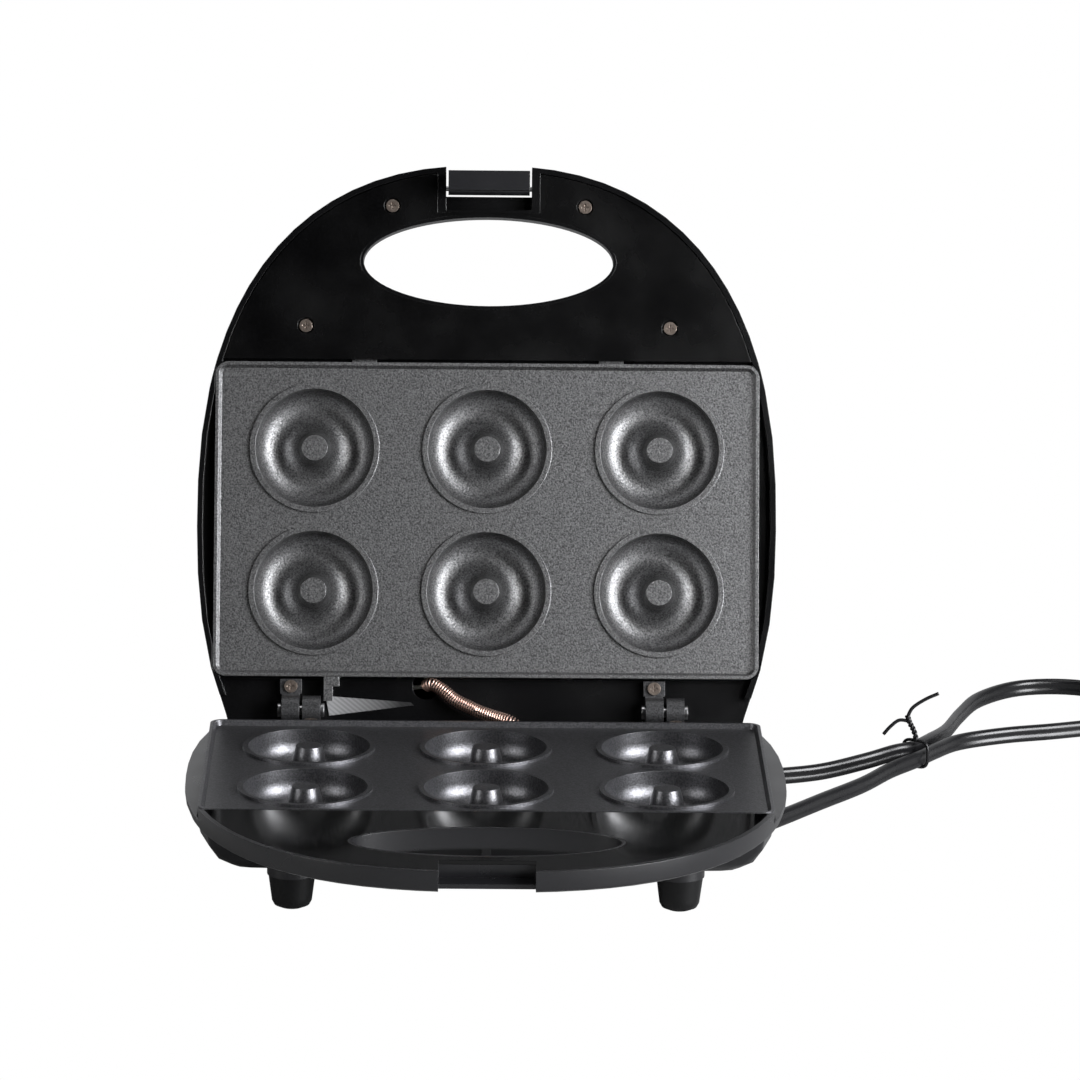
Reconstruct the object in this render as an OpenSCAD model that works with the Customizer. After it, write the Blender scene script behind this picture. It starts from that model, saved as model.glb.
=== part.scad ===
// Six-ring donut maker, lid open on its stop. Millimetres, +Z up, table at z = 0, front towards -Y.
// Both halves are drawn closed, about a closing plane at z = 0, and then put in place.

/* [Cooking plates] */
// Outside diameter of the raised ring round each cavity
cavity_d = 52.3; // [46:0.1:64]
// Width of that raised ring
ring_w = 2.1; // [1.5:0.1:3]
// Space between neighbouring rings across the width
cavity_gap_x = 17.5; // [14:0.5:24]
// Space between neighbouring rings from front to back
cavity_gap_y = 5.5; // [5:0.5:12]
// Space between the outer rings and the plate's side edges
plate_margin_x = 14.05; // [12:0.05:20]
// Space between the rings and the plate's front and back edges
plate_margin_y = 8.65; // [8:0.05:14]
// Depth of each cavity below the plate's field
cavity_depth = 12; // [10:0.5:13.5]
// Diameter of the top of each centre post
post_d = 10.3; // [8:0.1:13]
// Wall of the plate casting
plate_wall = 1.6; // [1.2:0.1:2]
// Height of the plate's rim above its field
rim_h = 2; // [1:0.1:2.6]
// Corner radius of the plate
plate_r = 5; // [3:0.5:8]

/* [Housing] */
// How far the housing reaches past each side of the plate
side_ledge = 7; // [7:0.5:12]
// How far the handle reaches in front of the plate
handle_reach = 80.8; // [76:0.1:100]
// Wall of the base shell
base_wall = 1.8; // [1.4:0.1:2.4]
// Wall of the lid cover
lid_wall = 2.2; // [1.4:0.1:2.6]
// Height of the edge flange of each half
flange_h = 8.7; // [8.5:0.1:12]
// Depth of the base below the closing plane
base_depth = 26; // [25:0.5:40]
// Height of the lid's dome above the closing plane
dome_h = 39.5; // [36:0.5:50]
// Thickness of the glossy handle panels
panel_t = 1.6; // [1.2:0.1:1.8]
// Height of the feet
foot_h = 13; // [10:0.5:20]
// Diameter of a foot at its top
foot_d = 18; // [14:0.5:22]

/* [Handle opening] */
// Length of the oval opening
opening_l = 101.2; // [80:0.2:110]
// Width of the oval opening
opening_w = 36.2; // [30:0.2:40]

/* [Hinge and latch] */
// How far the hinge axis lies behind the plate
hinge_setback = 13.7; // [13.7:0.1:18]
// Half of the distance between the two hinges
hinge_span = 73.3; // [60:0.1:80]
// Radius of a hinge knuckle
knuckle_r = 5.8; // [5:0.1:6]
// Radius of a hinge pin
hinge_pin_r = 2; // [1.5:0.1:2.5]
// Angle of the lid on its stop, from closed
open_angle = 108.4; // [95:0.1:112]
// Width of the latch clip
latch_w = 33; // [26:0.5:40]

/* [Hidden] */
$fn = 64;

// Clearances
close_gap = 0.4;      // between the two plates when closed
seat_gap = 0.3;       // round a piece that drops into a pocket
pin_gap = 0.05;       // radial, pin in bore
shell_bore_r = 1.25;  // screw bores in the shells
eps = 0.01;

// Plates
pitch_x = cavity_d + cavity_gap_x;
pitch_y = cavity_d + cavity_gap_y;
plate_w = 3 * cavity_d + 2 * cavity_gap_x + 2 * plate_margin_x;
plate_d = 2 * cavity_d + cavity_gap_y + 2 * plate_margin_y;
rim_z = -close_gap / 2;
field_z = rim_z - rim_h;
ring_h = 1.2;
skirt_z = -6.6;
ring_inner_r = cavity_d / 2 - ring_w;
post_flare = 1.2;
channel_r = (ring_inner_r - post_d / 2 - post_flare) / 2;
channel_mid_r = ring_inner_r - channel_r;
channel_z = min(field_z - cavity_depth + channel_r, field_z - plate_wall);
bowl_r = channel_mid_r + channel_r + plate_wall;

// Housing outline, one superellipse for both halves
half_w = plate_w / 2 + side_ledge;
half_l = plate_d / 2 + handle_reach;
outline_power = 2.4;
split_y = -plate_d / 2 - 1.3;          // handle part ends here
ledge_y = plate_d / 2 + 0.6;           // rear ledge starts here
base_back = plate_d / 2 + 11.3;
lid_back = plate_d / 2 + 27.3;
side_ledge_z = -4.5;                   // top of the side ledges
rear_ledge_z = -6.3;                   // top of the rear ledges
ledge_t = 2.4;
skin_z = -6.5;                         // inner face of the handle's outer skin
flange_round = 3;
rear_round = 12;
base_side_in = 18;
base_front_in = 10;
base_back_in = 12;
dome_side_in = 62;
dome_front_in = 50;
dome_back_in = 50;

// Handle opening
opening_y = split_y - 40.1;
opening_rim = 1.4;
// Latch, notch and lip
notch_w = latch_w + 1.8;
recess_y = -half_l + 18.3;             // back of the shallow part, by the opening
cheek_t = 3.4;
lip_y = -half_l + 7;
lip_z = -6.9;
base_notch_w = notch_w + 1.2;
base_notch_y = -half_l + 15.3;
latch_y = -half_l + 9.2;
latch_z = 3.6;
latch_pin_r = 1;
latch_barrel_r = 2.6;
latch_plate_t = 2.8;
latch_plate_y = lip_y - 0.5 - latch_plate_t;
hook_z = -flange_h - 0.5;
hook_t = 2;

// Hinge
hinge_y = plate_d / 2 + hinge_setback;
hinge_shift = -1;
knuckle_w = 7.2;
knuckle_offset = 4.2;
strap_top_z = -2.5;
lug_w = 8.6;
lug_l = 6;
lug_y = ledge_y + 0.4;
arm_screw_r = 1.5;
pin_head_r = 2.8;
pin_head_t = 1.2;
pin_half_l = knuckle_offset + knuckle_w / 2 + 0.3;

// Inside
element_r = 3.1;
element_z = -8.4;
element_x = pitch_x / 2;
element_y = -(pitch_y / 2 + bowl_r + plate_d / 2 - plate_wall) / 2;
element_bend_r = 8;
element_back = plate_d / 2 - 9;
clamp_w = 10;
clamp_l = 8;
clamp_y = [-2, plate_d / 2 - 16];
pan_t = 0.6;
pan_z = min(-17.5, channel_z - channel_r - plate_wall - 1.4);
boss_r = 3.5;
boss_x = plate_w / 2 - 24;
boss_y = plate_d / 2 - 9.4;
tab_x = 50;
tab_l = 10;
tab_t = 2;
tab_z = -5;
deck_screw_in = [39.1, -half_l + 16.8];
deck_screw_out = [73.8, split_y - 13.5];
deck_screws = [for (p = [deck_screw_in, deck_screw_out], s = [-1, 1]) [s * p[0], p[1]]];
screw_head_r = 2.6;
screw_recess_r = 3.4;

// Feet and cord outlet
foot_x = half_w - 43;
foot_front_y = -plate_d / 2 + 1.7;
foot_rear_y = plate_d / 2 + 2.3;
foot_boss_r = foot_d / 2 + 0.5;
foot_boss_top = 11.3;                  // below the closing plane, clear of the moulds
feet = [[-foot_x, foot_front_y], [foot_x, foot_front_y], [-foot_x, foot_rear_y], [foot_x, foot_rear_y]];
floor_z = -base_depth + base_wall;
cord_x = foot_x - 14;
cord_z = -base_depth + 7.2;
relief_in = 15;                        // reach inside, from the housing's back
cord_hole_r = 4.6;
relief_l = 19;
cord_t = 3.8;
cord_h = 7;

// Place in the row frame: table at z = 0, middle of the box at x = y = 0
deck_z = base_depth + foot_h;
function dome_point(a) = [-plate_d / 2 - 2.3 + dome_front_in * (1 - cos(a)),
                          flange_h + (dome_h - flange_h) * sin(a)];
function opened_y(p) = hinge_y + (p[0] - hinge_y) * cos(open_angle) + p[1] * sin(open_angle);
rear_extent = max(concat([for (a = [0:10:90]) opened_y(dome_point(a))],
                         [opened_y([-half_l + flange_round * 0.5, flange_h - 0.5])]));
shift_y = (half_l - rear_extent) / 2;

module base_place() {
    translate([0, shift_y, deck_z]) children();
}

// Lid pieces are drawn below the closing plane like the base's, turned over, and opened
module lid_place() {
    base_place() translate([0, hinge_y, 0]) rotate([-open_angle, 0, 0])
        translate([0, -hinge_y, 0]) mirror([0, 0, 1]) children();
}

// ---------- outlines ----------
front_steps = 14;
side_steps = 7;
corner_steps = 3;

function outline_x(y, inset) =
    (half_w - inset) * pow(max(0, 1 - pow(abs(y) / (half_l - inset), outline_power)), 1 / outline_power);

function nose(inset) =
    let(last = acos(pow(-split_y / (half_l - inset), outline_power / 2)))
    [for (i = [0:front_steps]) let(a = last * i / front_steps)
        [(half_w - inset) * pow(sin(a), 2 / outline_power),
         -(half_l - inset) * pow(cos(a), 2 / outline_power)]];

function corner(x, y, r, from) =
    [for (i = [1:corner_steps]) let(a = from + 90 * i / corner_steps) [x + r * cos(a), y + r * sin(a)]];

// Right half of an outline, from the middle of the front to the middle of the back.
// With y_front undefined it takes in the handle; otherwise it is cut straight across there.
function half_outline(inset, y_front, r_front, y_back, r_back) =
    let(whole = is_undef(y_front),
        y_a = whole ? split_y + 12 : y_front + r_front,
        y_b = y_back - r_back,
        x_a = outline_x(y_a, inset),
        x_b = outline_x(y_b, inset))
    concat(
        whole ? nose(inset)
              : [for (i = [0:front_steps]) [(x_a - r_front) * i / front_steps, y_front]],
        whole ? [for (i = [1:corner_steps]) let(y = split_y + 12 * i / corner_steps) [outline_x(y, inset), y]]
              : corner(x_a - r_front, y_a, r_front, -90),
        [for (i = [1:side_steps]) let(y = y_a + (y_b - y_a) * i / side_steps) [outline_x(y, inset), y]],
        corner(x_b - r_back, y_b, r_back, 0),
        [[(x_b - r_back) / 2, y_back], [0, y_back]]);

function whole_outline(half) =
    concat(half, [for (i = [len(half) - 2:-1:1]) [-half[i][0], half[i][1]]]);

module outline_2d(inset, y_back) {
    polygon(whole_outline(half_outline(inset, undef, 0, y_back - inset, rear_round - inset)));
}

module rounded_2d(w, d, r) {
    square([w - 2 * r, d], center = true);
    square([w, d - 2 * r], center = true);
    for (x = [-1, 1], y = [-1, 1]) translate([x * (w / 2 - r), y * (d / 2 - r)]) circle(r);
}

module oval_2d(grow) {
    translate([0, opening_y]) polygon([for (a = [0:5:355])
        [(opening_l / 2 + grow) * cos(a), (opening_w / 2 + grow) * sin(a)]]);
}

// Front part of the housing, ahead of the plate
module front_part() {
    translate([-half_w * 2, -half_l * 2]) square([half_w * 4, half_l * 2 + split_y]);
}

// ---------- shells ----------
// A closed skin through a stack of equal rings, each [half outline, z]
module loft(rings) {
    outlines = [for (r = rings) whole_outline(r[0])];
    n = len(outlines[0]);
    points = [for (k = [0:len(rings) - 1], p = outlines[k]) [p[0], p[1], rings[k][1]]];
    sides = [for (k = [0:len(rings) - 2], i = [0:n - 1])
        let(a = k * n + i, b = k * n + (i + 1) % n)
        each [[a, a + n, b + n], [a, b + n, b]]];
    bottom = [for (i = [0:n - 1]) i];
    top = [for (i = [n - 1:-1:0]) (len(rings) - 1) * n + i];
    polyhedron(points, concat(sides, [bottom, top]));
}

// One moulding with no true bores: its lofted skin and its ribs become a single mesh
module moulding() {
    resize([0, 0, 0]) children();
}

// Rings of the body below the flange, from its deepest point up, grown in by a wall
function body_rings(wall, depth, y_back, ins, upwards) =
    let(angles = upwards ? [90:-22.5:0] : [0:22.5:90])
    [for (a = angles) let(c = 1 - cos(a))
        [half_outline(flange_round + wall + ins[0] * c, split_y - 1 + wall + ins[1] * c, 2 + 10 * c,
                      y_back - flange_round - wall - ins[2] * c, rear_round - flange_round + 6 * c),
         -flange_h + (upwards ? 0 : flange_h + skin_z)
            - (depth - flange_h - (upwards ? 0 : wall - flange_h - skin_z)) * sin(a)]];

module shell(wall, depth, y_back, ins) {
    edge = [for (a = [0:30:90]) [flange_round * 0.7 * (1 - cos(a)), flange_round * (1 - sin(a))]];
    sides = concat(edge, [[flange_h + rim_z, 0]]);
    flange = [for (e = sides) [half_outline(e[1], undef, 0, y_back - e[1], rear_round - e[1]), -flange_h + e[0]]];
    inner = [for (z = [rim_z, skin_z]) [half_outline(wall, undef, 0, y_back - wall, rear_round - wall), z]];
    loft(concat(body_rings(0, depth, y_back, ins, true), flange, inner,
                body_rings(wall, depth, y_back, ins, false)));
}

// Side and rear ledges round the plate, and the wall between the plate and the handle
module ledges(wall, y_back) {
    translate([0, 0, side_ledge_z - ledge_t]) linear_extrude(ledge_t) difference() {
        outline_2d(wall / 2, y_back);
        front_part();
        translate([-half_w, ledge_y - 0.1]) square([2 * half_w, half_l]);
        rounded_2d(plate_w + 2 * seat_gap, plate_d + 2 * seat_gap, plate_r);
    }
    translate([0, 0, rear_ledge_z - ledge_t]) linear_extrude(ledge_t) intersection() {
        outline_2d(wall / 2, y_back);
        translate([-half_w, ledge_y - 0.3]) square([2 * half_w, half_l]);
    }
    cross_x = outline_x(split_y, wall);
    translate([-cross_x, split_y - base_wall + 0.6, -flange_h + 0.6])
        cube([2 * cross_x, base_wall - 0.6, flange_h - 0.6 + rim_z - panel_t]);
}

module opening_wall() {
    translate([0, 0, -flange_h + 0.6]) linear_extrude(flange_h - 0.6 + rim_z) difference() {
        oval_2d(opening_rim);
        oval_2d(0);
    }
}

// Posts: under the panel screws, under the plate's front tabs, and up to the reflector
module handle_posts() {
    for (p = deck_screws) translate([p[0], p[1], skin_z - 0.5])
        cylinder(h = rim_z - panel_t - skin_z + 0.5, r = boss_r);
    for (s = [-1, 1]) translate([s * tab_x, split_y - tab_l / 2, skin_z - 0.5])
        cylinder(h = tab_z - skin_z + 0.5, r = boss_r);
}

// They end inside the wall of the body, which is shallowest over their outer corner
module pan_posts(depth, y_back, ins) {
    side_room = (outline_x(boss_y + boss_r, flange_round) - boss_x - boss_r) / ins[0];
    room = [(plate_d / 2 + 2.3 - boss_y - boss_r) / ins[1],
            (y_back - flange_round - boss_y - boss_r) / ins[2]];
    for (x = [-1, 1], i = [0, 1]) {
        end = flange_h + (depth - flange_h) * sin(acos(1 - min(1, room[i], side_room))) - 1;
        translate([x * boss_x, (2 * i - 1) * boss_y, -end]) cylinder(h = end + pan_z, r = boss_r);
    }
}

module tab_slots() {
    for (s = [-1, 1]) translate([s * tab_x - 5.4, split_y - tab_l - 1, tab_z])
        cube([10.8, tab_l + 3, tab_t + 0.4]);
}

module post_bores() {
    for (p = deck_screws) translate([p[0], p[1], skin_z]) cylinder(h = 6, r = shell_bore_r);
    for (s = [-1, 1]) translate([s * tab_x, split_y - tab_l / 2, skin_z]) cylinder(h = 6, r = shell_bore_r);
}

module cut_above(y_from, z) {
    translate([-2 * half_w, y_from, z]) cube([4 * half_w, 2 * half_l, 50]);
}

module plate_pocket() {
    translate([0, 0, skirt_z - seat_gap]) linear_extrude(20)
        rounded_2d(plate_w + 2 * seat_gap, plate_d + 2 * seat_gap, plate_r);
}

base_ins = [base_side_in, base_front_in, base_back_in];
dome_ins = [dome_side_in, dome_front_in, dome_back_in];

module base_shell() {
    $fn = 24;
    color("#26272a") base_place() moulding() difference() {
        union() {
            difference() {
                shell(base_wall, base_depth, base_back, base_ins);
                cut_above(split_y, side_ledge_z);
                cut_above(ledge_y, rear_ledge_z);
                translate([0, 0, -flange_h - 1]) linear_extrude(flange_h) oval_2d(0.4);
                plate_pocket();
            }
            difference() {
                ledges(base_wall, base_back);
                plate_pocket();
            }
            opening_wall();
            handle_posts();
            pan_posts(base_depth, base_back, base_ins);
            for (p = feet) translate([p[0], p[1], -base_depth])
                cylinder(h = base_depth - foot_boss_top, r = foot_boss_r);
            // rib on the front of the belly
            translate([-1.75, split_y - 2.4, -base_depth + 6]) cube([3.5, 4, base_depth - 6 - flange_h + 0.6]);
            // walls beside and behind the latch notch
            translate([-base_notch_w / 2 - base_wall, -half_l + 5, -flange_h + 0.6]) difference() {
                cube([base_notch_w + 2 * base_wall, base_notch_y + half_l - 5 + base_wall,
                      flange_h - 0.6 + rim_z - panel_t]);
                translate([base_wall, -1, -1]) cube([base_notch_w, base_notch_y + half_l - 4, 20]);
            }
            // clamp posts on the floor behind the cord outlet
            for (s = [-1, 1]) translate([cord_x + s * 7, base_back - 22, floor_z - 0.4])
                cylinder(h = 3, r = 2.4);
        }
        // latch notch
        translate([-base_notch_w / 2, -half_l - 5, lip_z]) cube([base_notch_w, base_notch_y + half_l + 5, 20]);
        translate([-base_notch_w / 2, -half_l - 5, -20]) cube([base_notch_w, lip_y + half_l + 5, 40]);
        tab_slots();
        post_bores();
        for (p = deck_screws) translate([p[0], p[1], -flange_h - 1]) cylinder(h = 2, r = screw_recess_r);
        for (p = deck_screws) translate([p[0], p[1], -flange_h - 1]) cylinder(h = 7, r = 1.7);
        for (p = feet) translate([p[0], p[1], -base_depth - 1]) cylinder(h = 9, r = shell_bore_r);
        for (x = [-1, 1], y = [-1, 1]) translate([x * boss_x, y * boss_y, pan_z - 3]) cylinder(h = 6, r = 1.2);
        for (s = [-1, 1]) translate([cord_x + s * 7, base_back - 22, floor_z]) cylinder(h = 4, r = 0.9);
        for (x = arm_x(1)) translate([x, lug_y + lug_l / 2, rear_ledge_z - 4]) cylinder(h = 6, r = shell_bore_r);
        translate([cord_x, base_back - 20, cord_z]) rotate([-90, 0, 0]) cylinder(h = 40, r = cord_hole_r);
        translate([conduit_base[0], conduit_base[1], rear_ledge_z - 4]) cylinder(h = 6, r = conduit_r + 0.4);
    }
}

module lid_cover() {
    $fn = 24;
    color("#1d1e21") lid_place() moulding() difference() {
        union() {
            difference() {
                shell(lid_wall, dome_h, lid_back, dome_ins);
                cut_above(ledge_y + 7, rear_ledge_z);
                translate([0, 0, -flange_h - 1]) linear_extrude(flange_h) oval_2d(0.4);
                plate_pocket();
            }
            difference() {
                ledges(lid_wall, lid_back);
                plate_pocket();
            }
            opening_wall();
            handle_posts();
            pan_posts(dome_h, lid_back, dome_ins);
            // cheeks and back wall of the latch notch
            intersection() {
                translate([-notch_w / 2 - cheek_t, -half_l, -flange_h + 0.6]) cube([notch_w + 2 * cheek_t,
                    recess_y + half_l + 1, flange_h - 0.6 + rim_z]);
                translate([0, 0, -flange_h]) linear_extrude(flange_h) outline_2d(0.9, lid_back);
            }
        }
        translate([-notch_w / 2, -half_l - 5, -20]) cube([notch_w, latch_y + latch_barrel_r + 0.3 + half_l + 5, 40]);
        translate([-notch_w / 2, -half_l - 5, skin_z]) cube([notch_w, recess_y + half_l + 5, 40]);
        translate([-notch_w, latch_y, -latch_z]) rotate([0, 90, 0]) cylinder(h = 2 * notch_w, r = latch_pin_r + pin_gap);
        tab_slots();
        post_bores();
        for (x = [-1, 1], y = [-1, 1]) translate([x * boss_x, y * boss_y, pan_z - 3]) cylinder(h = 6, r = 1.2);
        for (x = arm_x(-1)) translate([x, lug_y + lug_l / 2, rear_ledge_z - 4]) cylinder(h = 6, r = shell_bore_r);
        for (s = [-1, 1]) translate([s * lamp_x, lamp_y, -flange_h - 1]) cylinder(h = 4, r = lamp_r + 0.1);
        translate([conduit_lid[0], conduit_lid[1], rear_ledge_z - 4]) cylinder(h = 6, r = conduit_r + 2.6);
    }
}

// Glossy panels that close the handle halves
module panel_2d(inset, half_notch, y_notch) {
    difference() {
        intersection() {
            outline_2d(inset, base_back);
            front_part();
        }
        oval_2d(opening_rim);
        translate([-half_notch, -half_l * 2]) square([2 * half_notch, half_l * 2 + y_notch]);
    }
}

module base_deck() {
    color("#131417") base_place() translate([0, 0, rim_z - panel_t]) linear_extrude(panel_t)
        panel_2d(base_wall, base_notch_w / 2 + eps, base_notch_y);
}

module lid_handle_panel() {
    color("#16171a") lid_place() difference() {
        translate([0, 0, rim_z - panel_t]) linear_extrude(panel_t)
            panel_2d(2.6, notch_w / 2 + cheek_t, recess_y + 1);
        for (p = deck_screws) {
            translate([p[0], p[1], rim_z - 1]) cylinder(h = 2, r = screw_recess_r);
            translate([p[0], p[1], rim_z - 3]) cylinder(h = 4, r = 1.4);
        }
    }
}

// A pan-head screw with a cross recess, head top at z = 0, shank downwards
module screw(head_r, head_h, shank_r, length) {
    difference() {
        cylinder(h = head_h, r = head_r);
        for (a = [0, 90]) rotate([0, 0, a]) translate([-head_r * 0.55, -0.35, head_h - 0.6]) cube([head_r * 1.1, 0.7, 1]);
    }
    translate([0, 0, -length]) cylinder(h = length + eps, r = shank_r);
}

module lid_panel_screws() {
    color("#3a322c") lid_place() for (p = deck_screws)
        translate([p[0], p[1], rim_z - 1]) screw(screw_head_r, 0.9, 1.2, 4);
}

module base_screws() {
    color("#3a322c") base_place() for (p = deck_screws)
        translate([p[0], p[1], -flange_h + 1]) mirror([0, 0, 1]) screw(screw_head_r, 0.9, 1.2, 5);
}

// ---------- plates ----------
module bowl_body_2d() {
    ring_top = field_z + ring_h;
    intersection() {
        translate([channel_mid_r, channel_z]) circle(channel_r + plate_wall);
        translate([0, -100]) square([100, 100 + channel_z + eps]);
    }
    translate([channel_mid_r, channel_z]) square([channel_r + plate_wall, field_z - channel_z + eps]);
    translate([ring_inner_r - eps, field_z - plate_wall]) square([ring_w + eps, ring_top - field_z + plate_wall]);
    polygon([[channel_mid_r, channel_z], [channel_mid_r - channel_r - plate_wall, channel_z],
             [post_d / 2 - plate_wall, ring_top - plate_wall], [0, ring_top - plate_wall], [0, ring_top],
             [post_d / 2, ring_top], [channel_mid_r - channel_r, channel_z]]);
}

module cavity() {
    rotate_extrude() difference() {
        bowl_body_2d();
        translate([channel_mid_r, channel_z]) circle(channel_r);
        translate([channel_mid_r, channel_z]) square([channel_r, 30]);
    }
}

module at_cavities() {
    for (x = [-1, 0, 1], y = [-0.5, 0.5]) translate([x * pitch_x, y * pitch_y]) children();
}

module plate(hinge_tab) {
    difference() {
        union() {
            difference() {
                translate([0, 0, skirt_z]) linear_extrude(rim_z - skirt_z) rounded_2d(plate_w, plate_d, plate_r);
                // sloping step from the rim down to the field
                hull() {
                    translate([0, 0, rim_z]) linear_extrude(1) rounded_2d(plate_w - 2.6, plate_d - 2.6, plate_r - 1.3, $fn = 32);
                    translate([0, 0, field_z]) linear_extrude(eps) rounded_2d(plate_w - 4.8, plate_d - 4.8, plate_r - 2.4, $fn = 32);
                }
                translate([0, 0, skirt_z - 1]) linear_extrude(field_z - plate_wall - skirt_z + 1)
                    rounded_2d(plate_w - 2 * plate_wall, plate_d - 2 * plate_wall, plate_r - plate_wall);
                translate([0, 0, -20]) linear_extrude(30) at_cavities() circle(cavity_d / 2 - 1);
            }
            at_cavities() cavity();
            // bosses that reach the reflector
            for (x = [-1, 1], y = [-1, 1]) translate([x * boss_x, y * boss_y, pan_z + pan_t])
                cylinder(h = field_z - 1 - pan_z - pan_t, r = boss_r);
            // cradles for the element
            for (x = [-1, 1], y = clamp_y) translate([x * element_x - clamp_w / 2, y - clamp_l / 2, element_z])
                cube([clamp_w, clamp_l, field_z - 1 - element_z]);
            // front tabs
            for (s = [-1, 1]) translate([s * tab_x - 5, split_y - tab_l + 0.6, tab_z]) cube([10, tab_l + 1.5, tab_t]);
            // L-shaped rear lug beside the hinge
            if (hinge_tab) {
                translate([-65.2, plate_d / 2 - 1, -3]) cube([6.2, 5, 2.4]);
                translate([-65.2, plate_d / 2 - 1, -3]) cube([3.6, 10.8, 2.4]);
            }
        }
        for (x = [-1, 1]) translate([x * element_x, 0, element_z]) rotate([90, 0, 0])
            cylinder(h = plate_d - 4, r = element_r + pin_gap, center = true);
        for (x = [-1, 1], y = [-1, 1]) translate([x * boss_x, y * boss_y, pan_z]) cylinder(h = 8, r = 1.2);
        for (s = [-1, 1]) translate([s * tab_x, split_y - tab_l / 2, tab_z - 1]) cylinder(h = 4, r = 1.4);
    }
}

module lower_plate() {
    color("#2c2e33") base_place() plate(false);
}

module upper_plate() {
    color("#4c4d50") lid_place() plate(true);
}

module tab_screws() {
    for (s = [-1, 1]) translate([s * tab_x, split_y - tab_l / 2, tab_z + tab_t]) screw(screw_head_r, 1, 1.2, 3.4);
}

module lower_plate_screws() {
    color("#8f8f92") base_place() tab_screws();
}

module upper_plate_screws() {
    color("#8f8f92") lid_place() tab_screws();
}

// ---------- heating ----------
module element() {
    run = 2 * (element_x - element_bend_r);
    translate([0, 0, element_z]) {
        translate([-run / 2, element_y, 0]) rotate([0, 90, 0]) cylinder(h = run, r = element_r);
        for (s = [-1, 1]) {
            translate([s * element_x, element_back, 0]) rotate([90, 0, 0])
                cylinder(h = element_back - element_y - element_bend_r, r = element_r);
            translate([s * (element_x - element_bend_r), element_y + element_bend_r, 0])
                rotate([0, 0, s > 0 ? -90 : 180]) rotate_extrude(angle = 90) translate([element_bend_r, 0]) circle(element_r);
            translate([s * element_x, element_back - eps, 0]) rotate([-90, 0, 0]) cylinder(h = 5, r = 1);
        }
    }
}

module clamps() {
    for (x = [-1, 1], y = clamp_y) translate([x * element_x, y, element_z]) difference() {
        translate([-clamp_w / 2, -clamp_l / 2, -element_r - 1.2]) cube([clamp_w, clamp_l, element_r + 1.2]);
        rotate([90, 0, 0]) cylinder(h = clamp_l + 1, r = element_r + pin_gap, center = true);
    }
}

pan_d = plate_d - 8;
module pan() {
    color("#b5b6b8") difference() {
        union() {
            translate([0, 0, pan_z]) linear_extrude(pan_t) rounded_2d(plate_w - 34, pan_d, 6);
            translate([0, 0, pan_z]) linear_extrude(3) difference() {
                rounded_2d(plate_w - 34, pan_d, 6);
                rounded_2d(plate_w - 34 - 2 * pan_t, pan_d - 2 * pan_t, 6 - pan_t);
            }
        }
        for (x = [-1, 1], y = [-1, 1]) translate([x * boss_x, y * boss_y, pan_z - 1]) cylinder(h = 4, r = 1.4);
    }
}

module thermostat() {
    translate([-plate_w / 2 + 20, 0, field_z - plate_wall]) {
        translate([0, 0, -1.5]) cylinder(h = 1.5, r = 8.5);
        translate([0, 0, -7]) cylinder(h = 5.6, r = 6.5);
        for (s = [-1, 1]) translate([s * 3 - 0.4, -2.5, -10]) cube([0.8, 5, 4]);
    }
}

module lower_heating_element() {
    color("#6a6b6d") base_place() element();
}

module upper_heating_element() {
    color("#6a6b6d") lid_place() element();
}

module lower_element_clamps() {
    color("#9a9b9d") base_place() clamps();
}

module upper_element_clamps() {
    color("#9a9b9d") lid_place() clamps();
}

module lower_reflector() {
    base_place() difference() {
        pan();
        for (p = feet) translate([p[0], p[1], pan_z - 1]) cylinder(h = 5, r = foot_boss_r + 0.4);
    }
}

module upper_reflector() {
    lid_place() pan();
}

module lower_thermostat() {
    color("#c9c2ae") base_place() thermostat();
}

module upper_thermostat() {
    color("#c9c2ae") lid_place() thermostat();
}

module thermal_fuse() {
    color("#d8d8d2") base_place() translate([plate_w / 2 - 20, 0, field_z - plate_wall]) {
        translate([-4, -7, -1]) cube([8, 14, 1]);
        translate([0, 0, -3]) rotate([90, 0, 0]) cylinder(h = 18, r = 2.4, center = true);
    }
}

module terminal_block() {
    color("#e4e2da") base_place() translate([cord_x - 34, 8, floor_z]) difference() {
        cube([24, 12, 5]);
        for (i = [0, 1, 2]) translate([4 + 8 * i, -1, 2.6]) rotate([-90, 0, 0]) cylinder(h = 14, r = 1.3);
    }
}

wire_z = floor_z + 1.3;
module base_wires() {
    color("#c8c9cc") base_place() {
        for (i = [0, 1]) wire([[cord_x - 3 + 6 * i, base_back - relief_in - 0.5, wire_z + 1.2],
            [cord_x - 3 + 6 * i, base_back - 18.4, wire_z], [cord_x - 3 + 6 * i, 30, wire_z],
            [cord_x - 30 + 8 * i, 24 - 2 * i, wire_z], [cord_x - 30 + 8 * i, 20.2, floor_z + 2.6]], 0.9);
        for (s = [-1, 1]) wire([[s * element_x, element_back + 4, element_z - 1.9], [s * element_x, plate_d / 2 - 0.9, -14],
            [s * element_x * 0.6, plate_d / 2 - 0.9, wire_z + 4], [s * 10, 40, wire_z], [15 + s * 5, 1 + 2 * s, wire_z],
            [cord_x - 22 - s * 8, 1 + 2 * s, wire_z], [cord_x - 22 - s * 8, 7.8, floor_z + 2.6]], 0.9);
    }
}

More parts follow.
